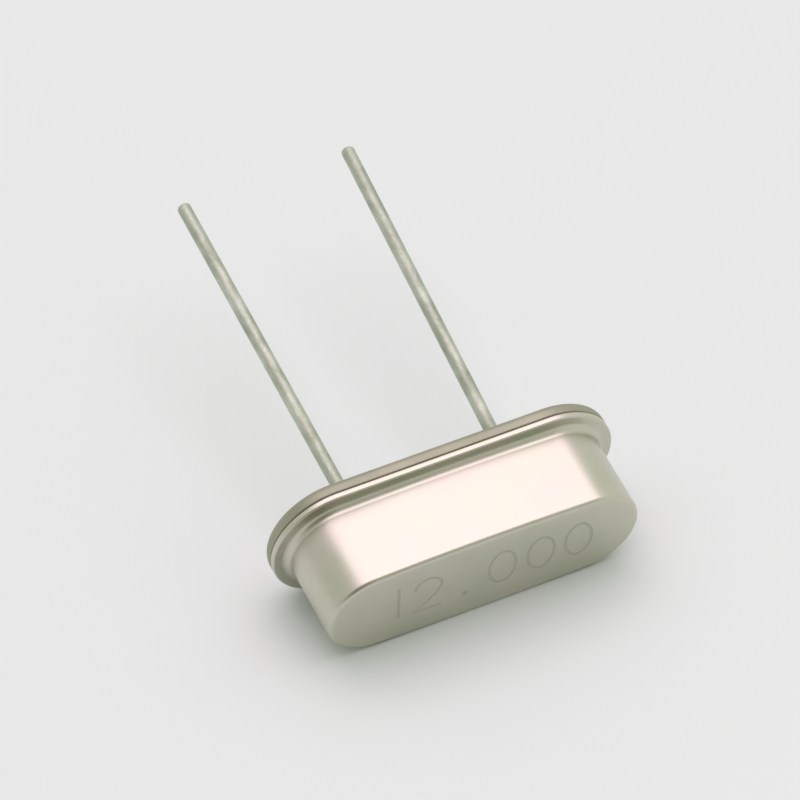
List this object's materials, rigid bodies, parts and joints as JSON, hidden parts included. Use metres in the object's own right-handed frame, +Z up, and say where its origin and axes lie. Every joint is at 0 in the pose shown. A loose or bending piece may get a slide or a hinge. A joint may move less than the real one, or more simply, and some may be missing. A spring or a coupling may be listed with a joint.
{
  "type": "quartz crystal",
  "caption": "Low-profile quartz crystal: a flat round-ended metal can with a welded flange, and wire leads on one side that set a circuit's frequency.",
  "frame": {"origin": "centre of the bounding box's base: on the surface that the crystal lies on, below the middle of its overall length and width", "axes": "+Y from the can towards the lead tips, the longest way; +X along the can's length; +Z up, square to the surface that its flat side lies on"},
  "size_m": [0.011, 0.0164, 0.0045],
  "materials": {
    "can_plate": "satin nickel plate over a drawn can",
    "header_plate": "satin nickel plate over a stamped plate",
    "lead_wire": "tinned wire, satin",
    "seal_glass": "dark fused sealing glass",
    "clip_spring": "bright rolled spring strip",
    "quartz": "lapped clear quartz",
    "electrode_film": "evaporated silver film",
    "silver_adhesive": "cured silver-filled adhesive"
  },
  "bodies": {
    "root": {"can": "can_plate", "header": "header_plate", "glass_seal_left": "seal_glass", "glass_seal_right": "seal_glass", "lead_left": "lead_wire", "lead_right": "lead_wire", "spring_clip_left": "clip_spring", "spring_clip_right": "clip_spring", "quartz_strip": "quartz", "electrode_upper": "electrode_film", "electrode_lower": "electrode_film", "adhesive_left": "silver_adhesive", "adhesive_right": "silver_adhesive"}
  },
  "joints": []
}
